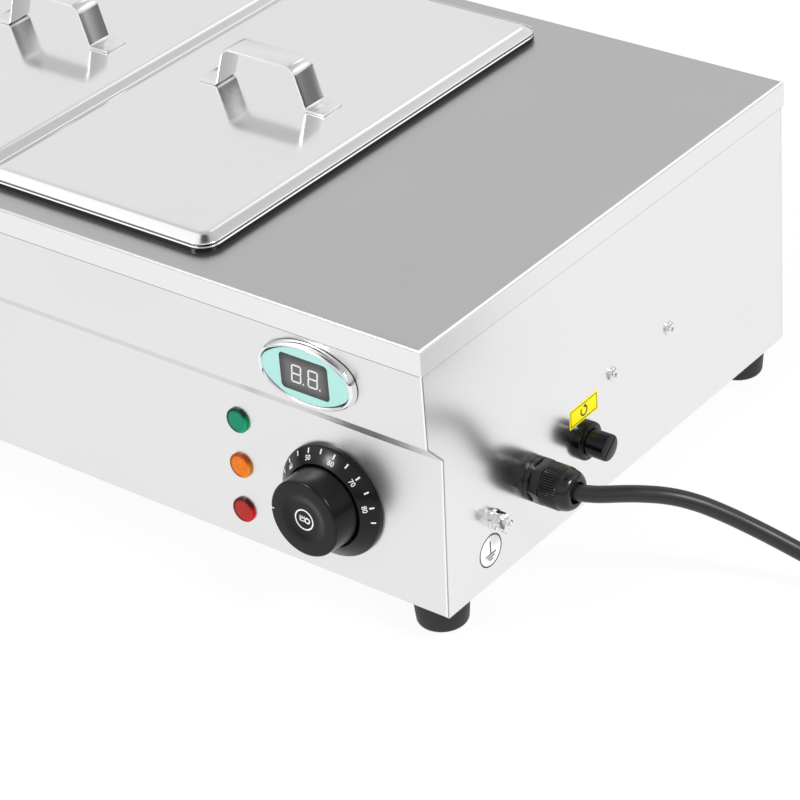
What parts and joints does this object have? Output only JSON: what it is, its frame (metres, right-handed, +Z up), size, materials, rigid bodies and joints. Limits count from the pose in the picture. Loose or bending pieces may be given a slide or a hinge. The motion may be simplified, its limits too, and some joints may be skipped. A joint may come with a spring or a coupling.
{
  "type": "countertop bain-marie",
  "caption": "Electric countertop bain-marie: brushed steel water bath with lidded pans, a folded control panel with oval display, lamps and thermostat knob, and a side cable gland with cord",
  "frame": {"origin": "on the worktop, below the middle of the appliance's box without its cord", "axes": "+X to the control end on the right, +Y to the back, +Z up"},
  "size_m": [1.0942, 0.3827, 0.2379],
  "materials": {
    "brushed_steel": "brushed front to back",
    "satin_steel": "fine satin",
    "drawn_steel": "bright drawn",
    "zinc_steel": "bright zinc",
    "heater_sheath": "heat-tinted",
    "copper": "drawn tube",
    "terminal_brass": "turned",
    "chrome": "polished",
    "mint_plastic": "smooth gloss",
    "dark_window": "tinted gloss",
    "black_plastic": "fine satin moulded",
    "gland_plastic": "semi-gloss moulded",
    "white_plastic": "moulded",
    "red_plastic": "moulded",
    "green_lens": "clear tinted",
    "orange_lens": "clear tinted",
    "red_lens": "clear tinted",
    "black_rubber": "matte moulded",
    "cord_rubber": "smooth semi-gloss"
  },
  "bodies": {
    "root": {"top_plate": "brushed_steel", "front_panel": "satin_steel", "right_side_panel": "satin_steel", "left_side_panel": "satin_steel", "back_panel": "satin_steel", "base_plate": "satin_steel", "water_tank": "drawn_steel", "heating_element": "heater_sheath", "element_clamps": "satin_steel", "clamp_nuts": "zinc_steel", "thermostat_body": "zinc_steel", "thermostat_screws": "zinc_steel", "thermostat_bulb": "copper", "limit_thermostat": "zinc_steel", "limit_bulb": "copper", "reset_collar": "black_plastic", "display_housing": "black_plastic", "display_bezel": "chrome", "display_fascia": "mint_plastic", "display_window": "dark_window", "lamp_green": "green_lens", "lamp_orange": "orange_lens", "lamp_red": "red_lens", "lamp_bodies": "white_plastic", "lamp_nuts": "white_plastic", "dial_ring": "black_plastic", "gland_body": "gland_plastic", "gland_nut": "gland_plastic", "gland_seal": "black_rubber", "gland_locknut": "gland_plastic", "earth_stud": "zinc_steel", "earth_nuts": "zinc_steel", "earth_washers": "zinc_steel", "terminal_bracket": "satin_steel", "bracket_screws": "zinc_steel", "terminal_block": "white_plastic", "terminal_screws": "terminal_brass", "power_cord": "cord_rubber", "cord_coil": "cord_rubber", "cord_tie": "gland_plastic", "plug_body": "cord_rubber", "plug_pins": "chrome", "foot_front_left": "black_rubber", "foot_front_right": "black_rubber", "foot_back_left": "black_rubber", "foot_back_right": "black_rubber", "foot_screws": "zinc_steel", "foot_nuts": "zinc_steel"},
    "knob": {"knob": "black_plastic", "thermostat_shaft": "zinc_steel"},
    "reset_cap": {"reset_cap": "black_plastic"},
    "reset_button": {"reset_button": "red_plastic"},
    "pan_left": {"pan_left": "drawn_steel"},
    "pan_middle": {"pan_middle": "drawn_steel"},
    "pan_right": {"pan_right": "drawn_steel"},
    "lid_left": {"lid_left": "drawn_steel"},
    "lid_middle": {"lid_middle": "drawn_steel"},
    "lid_right": {"lid_right": "drawn_steel"}
  },
  "joints": [
    {"name": "knob_turn", "type": "hinge", "parent": "root", "child": "knob", "pos_m": [0.26495, -0.16293, 0.07232], "axis": [0, 0.9984, -0.0558], "range_deg": [0, 184]},
    {"name": "reset_cap_off", "type": "slide", "parent": "root", "child": "reset_cap", "axis": [1, 0, 0], "range_m": [0, 0.03]},
    {"name": "reset_press", "type": "slide", "parent": "root", "child": "reset_button", "axis": [-1, 0, 0], "range_m": [0, 0.002], "stiffness_N_per_m": 1000},
    {"name": "pan_left_lift", "type": "slide", "parent": "root", "child": "pan_left", "axis": [0, 0, 1], "range_m": [0, 0.15]},
    {"name": "pan_middle_lift", "type": "slide", "parent": "root", "child": "pan_middle", "axis": [0, 0, 1], "range_m": [0, 0.15]},
    {"name": "pan_right_lift", "type": "slide", "parent": "root", "child": "pan_right", "axis": [0, 0, 1], "range_m": [0, 0.15]},
    {"name": "lid_left_lift", "type": "slide", "parent": "pan_left", "child": "lid_left", "axis": [0, 0, 1], "range_m": [0, 0.1]},
    {"name": "lid_middle_lift", "type": "slide", "parent": "pan_middle", "child": "lid_middle", "axis": [0, 0, 1], "range_m": [0, 0.1]},
    {"name": "lid_right_lift", "type": "slide", "parent": "pan_right", "child": "lid_right", "axis": [0, 0, 1], "range_m": [0, 0.1]}
  ]
}
